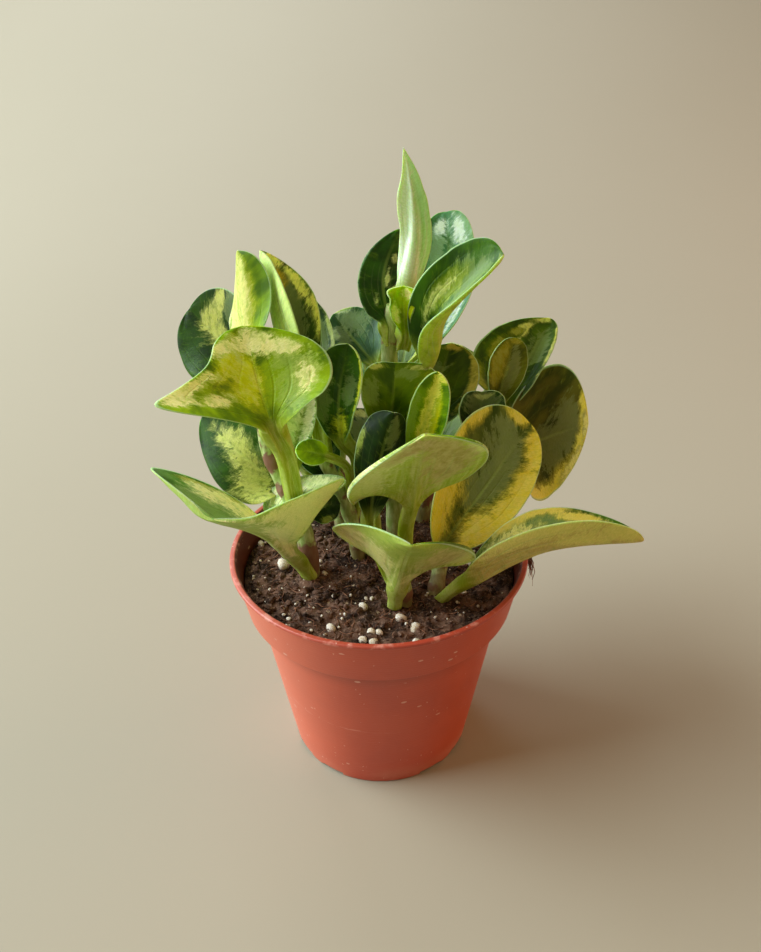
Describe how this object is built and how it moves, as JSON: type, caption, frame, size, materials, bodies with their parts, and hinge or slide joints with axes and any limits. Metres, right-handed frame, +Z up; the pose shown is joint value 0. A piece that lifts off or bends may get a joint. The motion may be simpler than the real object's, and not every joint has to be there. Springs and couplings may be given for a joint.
{
  "type": "potted peperomia",
  "caption": "Variegated peperomia with thick spoon-shaped leaves on upright stems, in a round tapered plastic nursery pot filled with potting soil.",
  "frame": {"origin": "centre of the pot's underside, on the ground that the pot stands on", "axes": "+Z up, +X to the right and -Y towards the viewer who faces the pictured front"},
  "size_m": [0.1754, 0.1468, 0.2431],
  "materials": {
    "pot_plastic": "satin red-orange moulded plastic with light scuffs",
    "potting_soil": "dark crumbly potting soil with white perlite grains and fibres",
    "foliage": "thick waxy leaves, green with cream and yellow variegation"
  },
  "bodies": {
    "root": {"pot": "pot_plastic", "soil": "potting_soil", "left_stem": "foliage", "centre_stem": "foliage", "front_stem": "foliage", "front_right_stem": "foliage", "tall_stem": "foliage", "right_stem": "foliage", "rear_left_stem": "foliage", "rear_right_stem": "foliage"}
  },
  "joints": []
}
